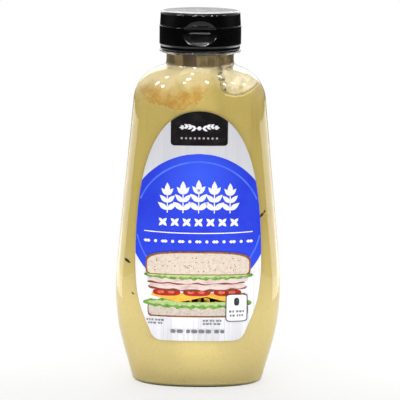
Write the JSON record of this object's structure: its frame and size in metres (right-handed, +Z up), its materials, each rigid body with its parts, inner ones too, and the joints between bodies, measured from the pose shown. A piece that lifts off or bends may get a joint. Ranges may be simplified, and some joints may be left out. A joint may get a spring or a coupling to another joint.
{
  "type": "mustard squeeze bottle",
  "caption": "Clear oval squeeze bottle of yellow mustard with rounded shoulders, a round black flip-top cap and an arched paper label on the front and back.",
  "frame": {"origin": "centre of the footprint, on the surface that the bottle stands on", "axes": "+Z up, +X along the wide side to the right as the front label is read, front label faces -Y"},
  "size_m": [0.0808, 0.0418, 0.1819],
  "materials": {
    "clear_plastic": "clear glossy moulded plastic",
    "mustard": "smooth moist paste",
    "black_plastic": "glossy moulded plastic",
    "label_paper": "satin film label with flat print"
  },
  "bodies": {
    "bottle": {"bottle": "clear_plastic", "mustard": "mustard", "cap_base": "black_plastic", "label_front": "label_paper", "label_back": "label_paper"},
    "lid": {"flip_lid": "black_plastic"}
  },
  "joints": [
    {"name": "lid_hinge", "type": "hinge", "parent": "bottle", "child": "lid", "pos_m": [0, 0.0196, 0.1748], "axis": [-1, 0, 0], "range_deg": [0, 135]}
  ]
}
